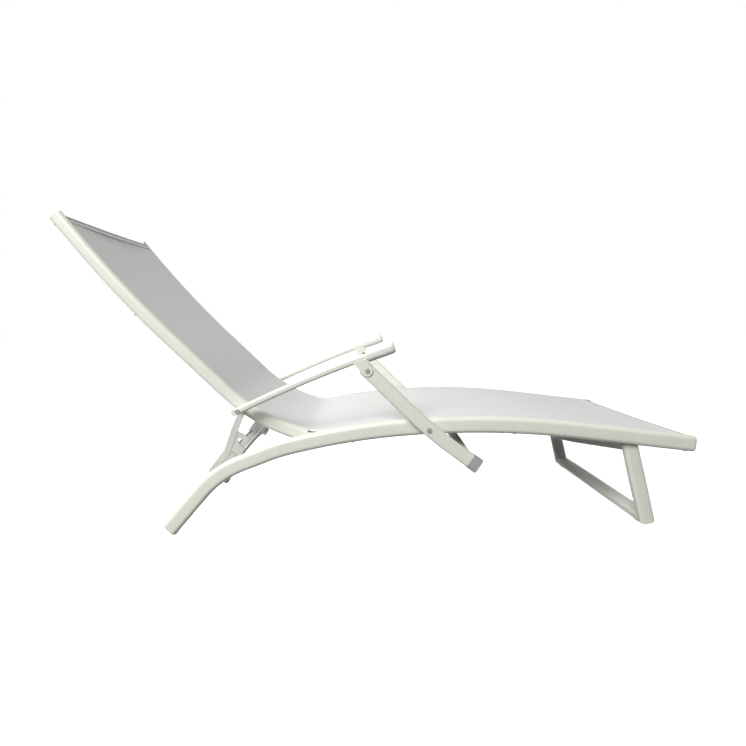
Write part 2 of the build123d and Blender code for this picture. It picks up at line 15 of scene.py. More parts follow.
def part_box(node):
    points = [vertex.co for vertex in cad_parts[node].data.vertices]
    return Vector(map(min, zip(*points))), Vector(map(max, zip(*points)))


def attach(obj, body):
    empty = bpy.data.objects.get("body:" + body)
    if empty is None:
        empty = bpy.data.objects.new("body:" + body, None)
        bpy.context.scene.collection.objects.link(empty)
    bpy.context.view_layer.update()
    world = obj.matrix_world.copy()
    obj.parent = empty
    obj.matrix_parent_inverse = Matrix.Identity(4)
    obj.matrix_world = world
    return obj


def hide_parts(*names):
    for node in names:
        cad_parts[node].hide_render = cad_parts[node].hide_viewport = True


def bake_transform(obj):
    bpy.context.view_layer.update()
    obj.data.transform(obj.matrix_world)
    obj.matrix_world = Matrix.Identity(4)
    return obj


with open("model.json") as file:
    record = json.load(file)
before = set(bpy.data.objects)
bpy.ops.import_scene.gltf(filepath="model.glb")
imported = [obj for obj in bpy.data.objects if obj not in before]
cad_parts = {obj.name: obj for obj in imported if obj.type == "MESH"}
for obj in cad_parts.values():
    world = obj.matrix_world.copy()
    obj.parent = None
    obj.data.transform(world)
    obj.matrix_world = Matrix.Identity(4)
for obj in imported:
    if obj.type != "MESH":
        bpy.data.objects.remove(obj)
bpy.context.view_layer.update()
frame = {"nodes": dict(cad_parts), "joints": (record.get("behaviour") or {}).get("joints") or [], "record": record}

bl_info = {
    "name": "Sling sun lounger",
    "version": (1, 0, 0),
    "blender": (4, 5, 0),
    "location": "3D View > Sidebar > Lounger",
    "description": "Rails, leg, sling, hems, grips, finishes and stage of a reclining sun lounger",
    "category": "Object",
}

MM = 0.001


def joint(name):
    return next(j for j in frame["joints"] if j["name"] == name)


# The routes of the rails in the side view, as the solids have them. Sizes are in millimetres, corners are
# shares of the sizes, and each bend takes its share of the shorter run beside it.
HINGE_PLACE = joint("recline")["pos_m"]
HINGE_X = HINGE_PLACE[0] / MM
HINGE_HEIGHT = 259.0
REAR_REACH = 435.0
SEAT_LENGTH = 1078.0
BACK_REACH = 765.5
BACK_RISE = 666.0
BED_REAR_SHARES = ((-1.0, 0.05), (-0.651, 0.717))
BED_SEAT_SHARES = ((0.0267, 1.074), (0.4736, 1.188), (1.0, 0.907))
BED_BEND_SHARES = (0.37, 0.72, 0.5)
BACK_CORNER_SHARES = ((-1.0, 1.0), (-0.7404, 0.6381), (-0.2203, 0.0607), (0.0, 0.0))
BACK_BEND_SHARES = (0.64, 0.857)
ROUTE_STEP = 8.0


# Colours

def linear(value):
    """One sRGB channel from 0 to 1, made linear."""
    return value / 12.92 if value <= 0.04045 else ((value + 0.055) / 1.055) ** 2.4


def colour(hex_value):
    """An sRGB hex colour as linear RGBA."""
    channels = [int(hex_value[i : i + 2], 16) / 255 for i in (1, 3, 5)]
    return (*[linear(c) for c in channels], 1.0)


# Sizes and colours that a user would change

class LoungerSizes(bpy.types.PropertyGroup):
    sling_thickness: FloatProperty(
        name="Sling thickness", description="Thickness of the woven sling", default=0.0012, unit="LENGTH"
    )
    sling_sag: FloatProperty(
        name="Sling sag",
        description="How far the middle of the sling hangs below its edges",
        default=0.006,
        unit="LENGTH",
    )
    weave_pitch: FloatProperty(
        name="Weave pitch",
        description="Spacing of the sling's threads, drawn coarser than real",
        default=0.0026,
        unit="LENGTH",
    )
    stitch_length: FloatProperty(
        name="Stitch length", description="Length of one hem stitch", default=0.0045, unit="LENGTH"
    )
    grip_swell: FloatProperty(
        name="Grip swell",
        description="How much thicker the grip is in its middle",
        default=0.0012,
        unit="LENGTH",
    )


class LoungerColours(bpy.types.PropertyGroup):
    paint: StringProperty(name="Paint", description="Powder coat of the frame", default="#E0E2D6")
    sling: StringProperty(name="Sling", description="Woven sling", default="#DCDCDA")
    # Painted shade: this dark grey stands for the shadowed gap between each end of the sling and its end bar.
    painted_end_shade: StringProperty(name="Binding", description="Tape on the sling's ends", default="#8C8C8A")
    cap: StringProperty(name="Cap", description="Grey end caps and glides", default="#9DA1A3")
    plug: StringProperty(name="Plug", description="Tube end plugs", default="#D5D5CC")
    grip: StringProperty(name="Grip", description="Hand grips", default="#E4E4DE")
    rack: StringProperty(name="Rack", description="Rack plates", default="#C9CBC4")
    rod: StringProperty(name="Rod", description="Rods", default="#DADBD3")
    steel: StringProperty(name="Steel", description="Plated bolts and screws", default="#7E807E")
    floor: StringProperty(name="Floor", description="Studio floor", default="#FFFFFF")


# Materials

def add_node(tree, kind, settings=None, links=None):
    """Add one node, set its properties and inputs, and link other nodes' outputs to its inputs."""
    node = tree.nodes.new(kind)
    for name, value in (settings or {}).items():
        if isinstance(name, str) and hasattr(node, name):
            setattr(node, name, value)
        else:
            node.inputs[name].default_value = value
    for name, source in (links or {}).items():
        tree.links.new(source, node.inputs[name])
    return node


def new_material(name):
    material = bpy.data.materials.new(name)
    material.use_nodes = True
    tree = material.node_tree
    tree.nodes.clear()
    return material, tree


def finish_material(tree, settings, links):
    shader = add_node(tree, "ShaderNodeBsdfPrincipled", settings, links)
    add_node(tree, "ShaderNodeOutputMaterial", links={"Surface": shader.outputs["BSDF"]})


def two_tone(tree, pattern, turn, low, high):
    """A pattern from 0 to 1 as two colours, which meet between the two values of the turn."""
    ramp = add_node(tree, "ShaderNodeValToRGB", links={"Fac": pattern})
    for stop, value, tone in zip(ramp.color_ramp.elements, turn, (low, high)):
        stop.position = value
        stop.color = tone
    return ramp.outputs["Color"]


def scaled(rgba, factor):
    return (*[channel * factor for channel in rgba[:3]], 1.0)


# Coated and moulded surfaces: tone patches about 45 mm across, and a grain that moves the gloss a little.
PATCHES_PER_METRE = 22.0
PATCH_DETAIL = 3.0
PATCH_TURN = (0.35, 0.65)
GRAIN_DETAIL = 2.0
GRAIN_STRENGTH = 0.35
GLOSSIER = 0.05
DULLER = 0.06
PLASTIC_IOR = 1.5


def grained_material(name, hex_value, roughness, grain, bump, metallic=0.0, shade=0.94):
    """A moulded or coated surface: even colour with faint patches, and a fine grain in the bump."""
    material, tree = new_material(name)
    base = colour(hex_value)
    place = add_node(tree, "ShaderNodeTexCoord").outputs["Object"]
    patches = add_node(
        tree,
        "ShaderNodeTexNoise",
        {"Scale": PATCHES_PER_METRE, "Detail": PATCH_DETAIL},
        {"Vector": place},
    )
    tone = two_tone(tree, patches.outputs["Fac"], PATCH_TURN, scaled(base, shade), base)
    fine = add_node(
        tree,
        "ShaderNodeTexNoise",
        {"Scale": 1 / grain, "Detail": GRAIN_DETAIL},
        {"Vector": place},
    )
    gloss = add_node(
        tree,
        "ShaderNodeMapRange",
        {"To Min": roughness - GLOSSIER, "To Max": roughness + DULLER},
        {"Value": fine.outputs["Fac"]},
    )
    relief = add_node(
        tree,
        "ShaderNodeBump",
        {"Strength": GRAIN_STRENGTH, "Distance": bump},
        {"Height": fine.outputs["Fac"]},
    )
    finish_material(
        tree,
        {"Metallic": metallic} if metallic else {"IOR": PLASTIC_IOR},
        {
            "Base Color": tone,
            "Roughness": gloss.outputs["Result"],
            "Normal": relief.outputs["Normal"],
        },
    )
    return material


def powder_coat(hex_value):
    # Powder-coated aluminium: a slightly uneven, orange-peel skin 2 mm from lump to lump, satin in the light.
    return grained_material(
        "powder_coated_aluminium", hex_value, roughness=0.36, grain=2.0 * MM, bump=0.06 * MM, shade=0.965
    )


def coated_steel(name, hex_value, roughness):
    # Powder-coated steel plate and rod: finer lumps than on the tubes, and patches a little darker.
    return grained_material(name, hex_value, roughness, grain=1.6 * MM, bump=0.05 * MM)


# The sling's yarn: slubs about 17 mm long, what threads and slubs give to its tone, and the threads' relief.
SLUBS_PER_METRE = 60.0
SLUB_DETAIL = 4.0
SLUB_SHARE = 0.5
SLUB_BASE = 0.25
THREAD_SHARE = 0.5
THREAD_TURN = (0.25, 0.8)
THREAD_SHADE = 0.9
THREAD_SHINE = 1.03
THREAD_STRENGTH = 0.5
THREAD_RELIEF = 0.25 * MM


def sling_weave(name, hex_value, pitch):
    # Coated polyester mesh: over-and-under threads, drawn 2.6 mm apart where the real ones are about 1 mm.
    material, tree = new_material(name)
    base = colour(hex_value)
    uv = add_node(tree, "ShaderNodeUVMap", {"uv_map": "weave"}).outputs["UV"]
    split = add_node(tree, "ShaderNodeSeparateXYZ", links={"Vector": uv})
    waves = []
    for axis in ("X", "Y"):
        turn = add_node(
            tree,
            "ShaderNodeMath",
            {"operation": "MULTIPLY", 1: math.pi / pitch},
            {0: split.outputs[axis]},
        )
        wave = add_node(tree, "ShaderNodeMath", {"operation": "SINE"}, {0: turn.outputs[0]})
        waves.append(wave.outputs[0])
    product = add_node(tree, "ShaderNodeMath", {"operation": "MULTIPLY"}, {0: waves[0], 1: waves[1]})
    height = add_node(
        tree,
        "ShaderNodeMapRange",
        {"From Min": -1.0, "From Max": 1.0},
        {"Value": product.outputs[0]},
    )
    slub = add_node(
        tree,
        "ShaderNodeTexNoise",
        {"Scale": SLUBS_PER_METRE, "Detail": SLUB_DETAIL},
        {"Vector": uv},
    )
    yarn = add_node(
        tree,
        "ShaderNodeMath",
        {"operation": "MULTIPLY_ADD", 1: SLUB_SHARE, 2: SLUB_BASE},
        {0: slub.outputs["Fac"]},
    )
    mixed = add_node(
        tree,
        "ShaderNodeMath",
        {"operation": "MULTIPLY_ADD", 1: THREAD_SHARE},
        {0: height.outputs["Result"], 2: yarn.outputs[0]},
    )
    low = scaled(base, THREAD_SHADE)
    high = scaled(base, THREAD_SHINE)
    tone = two_tone(tree, mixed.outputs[0], THREAD_TURN, low, high)
    relief = add_node(
        tree,
        "ShaderNodeBump",
        {"Strength": THREAD_STRENGTH, "Distance": THREAD_RELIEF},
        {"Height": height.outputs["Result"]},
    )
    finish_material(
        tree,
        {"Roughness": 0.55, "IOR": 1.48, "Sheen Weight": 0.15, "Sheen Roughness": 0.4},
        {"Base Color": tone, "Normal": relief.outputs["Normal"]},
    )
    return material


def plated_steel(hex_value):
    # Zinc-plated steel: a dull grey metal with a fine, even grain.
    return grained_material(
        "zinc_plated_steel",
        hex_value,
        roughness=0.34,
        grain=0.6 * MM,
        bump=0.03 * MM,
        metallic=1.0,
        shade=0.85,
    )


def moulded(name, hex_value, roughness):
    # Moulded nylon, ABS or rubber: satin, with a grain of about 0.8 mm.
    return grained_material(name, hex_value, roughness, grain=0.8 * MM, bump=0.05 * MM, shade=0.95)


def make_finishes(colours, pitch):
    """Each of the record's slots with its material, and the painted shade for the sling's ends."""
    return {
        "frame_paint": powder_coat(colours.paint),
        "spacer_plastic": moulded("moulded_nylon_spacer", colours.plug, 0.42),
        "end_plastic": moulded("moulded_nylon_plug", colours.plug, 0.42),
        "grip_plastic": moulded("moulded_abs_grip", colours.grip, 0.4),
        "grey_plastic": moulded("moulded_grey_rubber", colours.cap, 0.5),
        "rack_metal": coated_steel("coated_rack_steel", colours.rack, 0.38),
        "rod_metal": coated_steel("coated_rod_steel", colours.rod, 0.36),
        "fastener": plated_steel(colours.steel),
        "spline_plastic": moulded("extruded_spline", colours.plug, 0.45),
        "sling_fabric": sling_weave("woven_coated_polyester", colours.sling, pitch),
        # The dark weave on the sling's ends is painted shade, for the shadowed gap between the sling and the end
        # bar.
        "painted_end_shade": sling_weave("painted_end_shade_weave", colours.painted_end_shade, pitch),
    }


FINISHES = {}


# Shapes

def line_points(corners, shares):
    """Points and unit tangents along straight runs joined by tangent arcs, about a route step apart."""
    corners = [Vector(c) for c in corners]
    places = []
    last = corners[0]
    for before, corner, after, share in zip(corners, corners[1:], corners[2:], shares):
        run_in, run_out = corner - before, after - corner
        reach = share * min(run_in.length, run_out.length)
        turn = run_in.angle(run_out)
        radius = reach / math.tan(turn / 2)
        start = corner - run_in.normalized() * reach
        tangent = run_in.normalized()
        places += straight(last, start)
        side = 1 if run_in.x * run_out.y - run_in.y * run_out.x > 0 else -1
        normal = Vector((-tangent.y, tangent.x)) * side
        centre = start + normal * radius
        count = max(2, math.ceil(radius * turn / ROUTE_STEP))
        for i in range(count):
            angle = side * turn * i / count
            turned = Matrix.Rotation(angle, 2)
            places.append((centre + turned @ (start - centre), turned @ tangent))
        last = corner + run_out.normalized() * reach
    places += straight(last, corners[-1])
    places.append((corners[-1], (corners[-1] - corners[-2]).normalized()))
    return places


def straight(start, end):
    run = end - start
    count = max(1, math.ceil(run.length / ROUTE_STEP))
    return [(start + run * i / count, run.normalized()) for i in range(count)]


def bed_route():
    """The bed rail's route from its rear foot to the foot end."""
    rear = [(HINGE_X + x * REAR_REACH, z * HINGE_HEIGHT) for x, z in BED_REAR_SHARES]
    seat = [(HINGE_X + x * SEAT_LENGTH, z * HINGE_HEIGHT) for x, z in BED_SEAT_SHARES]
    return line_points(rear + seat, BED_BEND_SHARES)


def back_route():
    """The back rail's route from its head end to the hinge."""
    corners = [(HINGE_X + x * BACK_REACH, HINGE_HEIGHT + z * BACK_RISE) for x, z in BACK_CORNER_SHARES]
    return line_points(corners, BACK_BEND_SHARES)


def raised(places, rise):
    """The same line, moved square to itself."""
    return [p + Vector((-t.y, t.x)) * rise for p, t in places]


def resampled(points, step):
    """Points an even step apart along a chain of points."""
    lengths = [0.0]
    for a, b in zip(points, points[1:]):
        lengths.append(lengths[-1] + (b - a).length)
    count = max(2, round(lengths[-1] / step))
    result = []
    i = 0
    for k in range(count + 1):
        want = lengths[-1] * k / count
        while i < len(points) - 2 and lengths[i + 1] < want:
            i += 1
        span = lengths[i + 1] - lengths[i]
        share = (want - lengths[i]) / span if span else 0
        result.append(points[i].lerp(points[i + 1], share))
    return result


def smooth_step(value, low, high):
    share = min(1.0, max(0.0, (value - low) / (high - low)))
    return share * share * (3 - 2 * share)


# The sling leaves its grooves at these heights above the rails' routes. Its side hems roll round the splines,
# a little lower. It sags less near its ends, over the length of the sag ramp.
SLING_RISE_BACK = 21.3
SLING_RISE_SEAT = 25.3
SLING_HALF_BACK = 269.0
SLING_HALF_SEAT = 297.0
SLING_END_GAP = 12.5
HEM_DROP = 1.8
HEM_RADIUS = 2.3
HEM_RAMP = 5.0
HEM_STEPS = 10
HEM_TURN = math.radians(330)
SHEET_STEPS = 28
SLING_STEP = 9.0
CLOTH_SMOOTH = math.radians(40)
BRIDGE_STEPS = 12
SAG_RAMP = 60.0
END_SAG_SHARE = 0.35
BACK_CHANNEL_END = 34.0
SEAT_CHANNEL_START = 41.0


def sling_line():
    """The sling's line in the side view from the head end to the foot end, in millimetres."""
    back = raised(back_route(), SLING_RISE_BACK)
    seat = raised(bed_route(), SLING_RISE_SEAT)
    head = back[0]
    back = [p for p in back if (p - head).length > SLING_END_GAP and p.x < HINGE_X - BACK_CHANNEL_END]
    foot = seat[-1]
    seat = [p for p in seat if (p - foot).length > SLING_END_GAP and p.x > HINGE_X + SEAT_CHANNEL_START]
    gap = seat[0] - back[-1]
    leave = (back[-1] - back[-2]).normalized() * gap.length
    arrive = (seat[1] - seat[0]).normalized() * gap.length
    bridge = []
    for i in range(1, BRIDGE_STEPS):
        t = i / BRIDGE_STEPS
        bridge.append(
            (2 * t**3 - 3 * t**2 + 1) * back[-1]
            + (t**3 - 2 * t**2 + t) * leave
            + (3 * t**2 - 2 * t**3) * seat[0]
            + (t**3 - t**2) * arrive
        )
    return resampled(back + bridge + seat, SLING_STEP)


def mesh_object(name, mesh, slot):
    piece = bpy.data.objects.new(name, mesh)
    bpy.context.scene.collection.objects.link(piece)
    give_finish(piece, slot)
    return piece


def give_finish(piece, slot):
    piece.data.materials.clear()
    piece.data.materials.append(FINISHES[slot])


def only(piece):
    """Select one object and make it active."""
    bpy.ops.object.select_all(action="DESELECT")
    piece.select_set(True)
    bpy.context.view_layer.objects.active = piece


def apply_all(piece):
    only(piece)
    for modifier in list(piece.modifiers):
        bpy.ops.object.modifier_apply(modifier=modifier.name)


def half_width_at(x):
    """Half the sling's width: narrow on the back, wide on the seat."""
    share = smooth_step(x, HINGE_X - BACK_CHANNEL_END, HINGE_X + SEAT_CHANNEL_START)
    return SLING_HALF_BACK + (SLING_HALF_SEAT - SLING_HALF_BACK) * share


# Each rail is a flat oval that stands a little above its route, with a groove in its top. The depths are
# counted from the top of the rail. Behind the hinge the bed rail has no groove, and further back it drops a
# little below its route, so that the armrests' spacers clear it when the back lies flat.
RAIL_HALF = 13.0
RAIL_LIFT = 4.0
BED_RAIL_HEIGHT = 47.0
BACK_RAIL_HEIGHT = 39.0
REAR_LIFT = -4.0
REAR_TRIM = 7.0
DROP_START = 90.0
DROP_END = 223.0
LIP_REACH = 1.2
LEDGE_DEPTH = 3.2
GROOVE_DEPTH = 4.0
GROOVE_RADIUS = 3.2
SIDES = (("right", -1), ("left", 1))

# Tubes are swept as rings. Corners nearer than the merge reach, in metres, become one.
OVAL_STEPS = 12
MERGE_REACH = 1e-6
STEP_SPLIT = 0.05
TUBE_SMOOTH = math.radians(32)


def flat_oval(width, height, inset=0.0):
    """Outline of a flat oval, taller than wide, from its top round by -X."""
    radius = width / 2 - inset
    rise = (height - width) / 2
    turns = [math.pi * i / OVAL_STEPS for i in range(OVAL_STEPS + 1)]
    lower = [(-radius * math.cos(a), -rise - radius * math.sin(a)) for a in turns]
    upper = [(radius * math.cos(a), rise + radius * math.sin(a)) for a in turns]
    return lower + upper


def rail_outline(height, grooved):
    """A rail's outline from the tip of its lip. X is inwards, and the height is counted from the route."""
    arc = height / 2 - RAIL_HALF
    ledge = height / 2 - LEDGE_DEPTH
    middle = height / 2 - GROOVE_DEPTH
    first = math.asin(LIP_REACH / RAIL_HALF)
    last = math.acos((ledge - arc) / RAIL_HALF)

    def round_part(start, end, centre, steps):
        angles = [start + (end - start) * i / steps for i in range(steps + 1)]
        return [(RAIL_HALF * math.sin(a), centre + RAIL_HALF * math.cos(a)) for a in angles]

    points = round_part(first, -math.pi / 2, arc, OVAL_STEPS)
    points += round_part(-math.pi / 2, -1.5 * math.pi, -arc, 2 * OVAL_STEPS)
    points += round_part(math.pi / 2, last, arc, OVAL_STEPS)
    if grooved:
        start = math.asin((ledge - middle) / GROOVE_RADIUS)
        end = math.acos(LIP_REACH / GROOVE_RADIUS) - 2 * math.pi
        angles = [start + (end - start) * i / OVAL_STEPS for i in range(OVAL_STEPS + 1)]
        points += [(GROOVE_RADIUS * math.cos(a), middle + GROOVE_RADIUS * math.sin(a)) for a in angles]
    else:
        points += round_part(last, first, arc, OVAL_STEPS + 2)[1:-1]
    return [(x, z + RAIL_LIFT) for x, z in points]


def swept(name, rings):
    """A closed skin over rings of points in millimetres."""
    columns = len(rings[0])
    rows = len(rings) - 1
    bpy.ops.object.select_all(action="DESELECT")
    bpy.ops.mesh.primitive_grid_add(x_subdivisions=columns, y_subdivisions=rows, size=1.0)
    piece = bpy.context.active_object
    piece.name = name
    piece.data.name = name
    for vertex in piece.data.vertices:
        row = round((vertex.co.y + 0.5) * rows)
        column = round((vertex.co.x + 0.5) * columns) % columns
        vertex.co = rings[row][column] * MM
    bpy.ops.object.mode_set(mode="EDIT")
    bpy.ops.mesh.select_all(action="SELECT")
    bpy.ops.mesh.remove_doubles(threshold=MERGE_REACH)
    bpy.ops.mesh.fill_holes(sides=0)
    bpy.ops.mesh.select_all(action="SELECT")
    bpy.ops.mesh.normals_make_consistent(inside=False)
    bpy.ops.object.mode_set(mode="OBJECT")
    bpy.ops.object.shade_smooth_by_angle(angle=TUBE_SMOOTH)
    return piece


def ring_at(place, outline, side, distance):
    """An outline set square to a rail's route. Its X points to the sling."""
    point, tangent = place
    normal = Vector((-tangent.y, tangent.x))
    ring = []
    for inward, rise in outline:
        spot = point + normal * rise
        ring.append(Vector((spot.x, side * (distance - inward), spot.y)))
    return ring


def cut_to(outline, low, high):
    """The outline with all that is below or above two heights pressed to them."""
    return [(x, min(high, max(low, z))) for x, z in outline]


def with_steps(places, x):
    """The same places, with two close ones at the X where the rail's section changes."""
    result = []
    for before, after in zip(places, places[1:]):
        result.append(before)
        if before[0].x < x <= after[0].x:
            share = (x - before[0].x) / (after[0].x - before[0].x)
            spot = before[0].lerp(after[0], share)
            tangent = before[1].lerp(after[1], share).normalized()
            result += [(spot - tangent * STEP_SPLIT, tangent), (spot + tangent * STEP_SPLIT, tangent)]
    return result + [places[-1]]


def bed_places():
    """The bed rail's route, cut back so that the lowered rail ends at the floor. Its cap ends 3 mm lower."""
    places = bed_route()
    point, tangent = places[0]
    return [(point + tangent * REAR_TRIM, tangent)] + places[1:]


class OBJECT_OT_lounger_rails(bpy.types.Operator):
    """Extrude the grooved rails along their bends, lower at the rear and rounded where the back turns"""

    bl_idname = "object.lounger_rails"
    bl_label = "Rails"

    def execute(self, context):
        for side, sign in SIDES:
            self.rail(f"rail_{side}", "base", f"base_rail_{side}", self.bed_rings(sign))
            self.rail(f"back_side_{side}", "back", f"back_rail_{side}", self.back_rings(sign))
        return {"FINISHED"}

    def rail(self, name, body, node, rings):
        piece = swept(name, rings)
        give_finish(piece, "frame_paint")
        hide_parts(node)
        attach(piece, body)

    def bed_rings(self, side):
        start = HINGE_X + SEAT_CHANNEL_START
        grooved = rail_outline(BED_RAIL_HEIGHT, True)
        plain = rail_outline(BED_RAIL_HEIGHT, False)
        rings = []
        for place in with_steps(bed_places(), start):
            x = place[0].x
            lowered = 1 - smooth_step(x, HINGE_X - DROP_END, HINGE_X - DROP_START)
            drop = (RAIL_LIFT - REAR_LIFT) * lowered
            outline = grooved if x >= start else [(inward, rise - drop) for inward, rise in plain]
            rings.append(ring_at(place, outline, side, SLING_HALF_SEAT))
        return rings

    def back_rings(self, side):
        low = BACK_RAIL_HEIGHT / 2 - RAIL_LIFT
        stop = HINGE_X - BACK_CHANNEL_END
        places = with_steps(back_route(), stop)
        grooved = rail_outline(BACK_RAIL_HEIGHT, True)
        plain = rail_outline(BACK_RAIL_HEIGHT, False)
        rings = [
            ring_at(place, cut_to(plain, -low, low) if place[0].x > stop else grooved, side, SLING_HALF_BACK)
            for place in places
        ]
        hinge, tangent = places[-1]
        for i in range(1, OVAL_STEPS):
            turn = math.pi / 2 * i / OVAL_STEPS
            reach = low * math.cos(turn)
            place = (hinge + tangent * low * math.sin(turn), tangent)
            rings.append(ring_at(place, cut_to(plain, -reach, reach), side, SLING_HALF_BACK))
        return rings


# Rail ends: node, body, whether it closes the route's first end, the rail's height and lift there, then the
# cap's thickness, rounding and how far its rim stands out.
CAPS = (
    ("rear_foot", "base", True, BED_RAIL_HEIGHT, REAR_LIFT, 4.0, 1.0, 1.0),
    ("rail_end_plug", "base", False, BED_RAIL_HEIGHT, RAIL_LIFT, 9.0, 7.0, 0.0),
    ("head_plug", "back", True, BACK_RAIL_HEIGHT, RAIL_LIFT, 4.5, 3.0, 0.0),
)


class OBJECT_OT_lounger_caps(bpy.types.Operator):
    """Round off the rails' open ends with moulded caps"""

    bl_idname = "object.lounger_caps"
    bl_label = "End caps"

    def execute(self, context):
        bed = bed_places()
        back = back_route()
        for node, body, first, height, lift, thickness, rounding, rim in CAPS:
            places, distance = (bed, SLING_HALF_SEAT) if body == "base" else (back, SLING_HALF_BACK)
            point, tangent = places[0] if first else places[-1]
            outward = -tangent if first else tangent
            steps = [(0.0, -rim), (thickness - rounding, -rim)]
            for i in range(1, OVAL_STEPS):
                turn = math.pi / 2 * i / OVAL_STEPS
                steps.append(
                    (thickness - rounding * (1 - math.sin(turn)), rounding * (1 - math.cos(turn)) - rim)
                )
            for side, sign in SIDES:
                rings = []
                for reach, inset in steps:
                    outline = [(x, z + lift) for x, z in flat_oval(2 * RAIL_HALF, height, inset)]
                    rings.append(ring_at((point + outward * reach, tangent), outline, sign, distance))
                piece = swept(f"cap_{node}_{side}", rings)
                give_finish(piece, "end_plastic")
                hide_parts(f"{node}_{side}")
                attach(piece, body)
        return {"FINISHED"}


# Front leg: a mitred U, and the bent bar under the seat that joins its tops. The drop is counted from the
# rail's route, the offset and the reach from the leg's top.
LEG_TOP_X = 751.0
LEG_FOOT = (799.3, 18.5)
LEG_HALF_SPAN = 279.0
LEG_WIDTH = 46.0
LEG_THICKNESS = 25.0
BRACE_WIDTH = 18.0
BRACE_HEIGHT = 30.0
BRACE_DROP = 33.5
BRACE_OFFSET = 24.0
BRACE_REACH = 162.0
BRACE_HALF = 122.0
BRACE_BEND_SHARES = (0.27, 0.27)


class OBJECT_OT_lounger_leg(bpy.types.Operator):
    """Mitre the front leg from flat-oval tube and bend the bar between its tops"""

    bl_idname = "object.lounger_leg"
    bl_label = "Front leg"

    def execute(self, context):
        top_z = next(point.y for point, _ in bed_route() if point.x > LEG_TOP_X)
        top = Vector((LEG_TOP_X, 0, top_z))
        low = Vector((LEG_FOOT[0], 0, LEG_FOOT[1]))
        down = (low - top).normalized()
        out = Vector((0, 1, 0))
        wide = down.cross(out).normalized()
        rings = []
        for spot, side, turned in ((top, -1, 0), (low, -1, 1), (low, 1, 1), (top, 1, 0)):
            ring = []
            for x, z in flat_oval(LEG_THICKNESS, LEG_WIDTH):
                ring.append(spot + out * side * (LEG_HALF_SPAN + x) + down * x * turned + wide * z)
            rings.append(ring)
        leg = swept("leg", rings)
        give_finish(leg, "frame_paint")
        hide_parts("leg_frame")
        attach(leg, "base")

        inner = LEG_HALF_SPAN - LEG_THICKNESS / 2
        start_x = LEG_TOP_X + BRACE_OFFSET
        corners = [
            (start_x, -inner),
            (start_x - BRACE_REACH, -BRACE_HALF),
            (start_x - BRACE_REACH, BRACE_HALF),
            (start_x, inner),
        ]
        rings = []
        for point, tangent in line_points(corners, BRACE_BEND_SHARES):
            across = Vector((-tangent.y, tangent.x, 0))
            centre = Vector((point.x, point.y, top_z - BRACE_DROP))
            outline = flat_oval(BRACE_WIDTH, BRACE_HEIGHT)
            rings.append([centre + across * x + Vector((0, 0, z)) for x, z in outline])
        for ring, wall in ((rings[0], -inner), (rings[-1], inner)):
            for spot in ring:
                spot.y = wall
        brace = swept("leg_brace", rings)
        give_finish(brace, "frame_paint")
        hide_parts("leg_gusset_right", "leg_gusset_left")
        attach(brace, "base")
        return {"FINISHED"}


class OBJECT_OT_lounger_finishes(bpy.types.Operator):
    """Make the finishes and give each solid its own"""

    bl_idname = "object.lounger_finishes"
    bl_label = "Finishes"

    def execute(self, context):
        scene = context.scene
        FINISHES.update(make_finishes(scene.lounger_colours, scene.lounger_sizes.weave_pitch))
        slots = {part["node"]: part["material_slot"] for part in frame["record"]["subparts"]}
        for name, node in frame["nodes"].items():
            finish = FINISHES[slots[name]]
            for place in node.material_slots:
                place.material = finish
            if not node.material_slots:
                node.data.materials.append(finish)
        return {"FINISHED"}


def side_profile(half):
    """Across the sling: even steps over the sheet, then once round each hem. Y, rise and girth in mm."""
    flat = half - HEM_RAMP
    right = [(flat * i / SHEET_STEPS, 0.0) for i in range(SHEET_STEPS + 1)]
    for i in range(HEM_STEPS + 1):
        turn = HEM_TURN * i / HEM_STEPS
        right.append((half + HEM_RADIUS * math.sin(turn), HEM_RADIUS * math.cos(turn) - HEM_DROP))
    girths = [0.0]
    for a, b in zip(right, right[1:]):
        girths.append(girths[-1] + math.dist(a, b))
    near = [(-y, rise, -girth) for (y, rise), girth in zip(right, girths)]
    far = [(y, rise, girth) for (y, rise), girth in zip(right, girths)]
    return near[:0:-1] + far


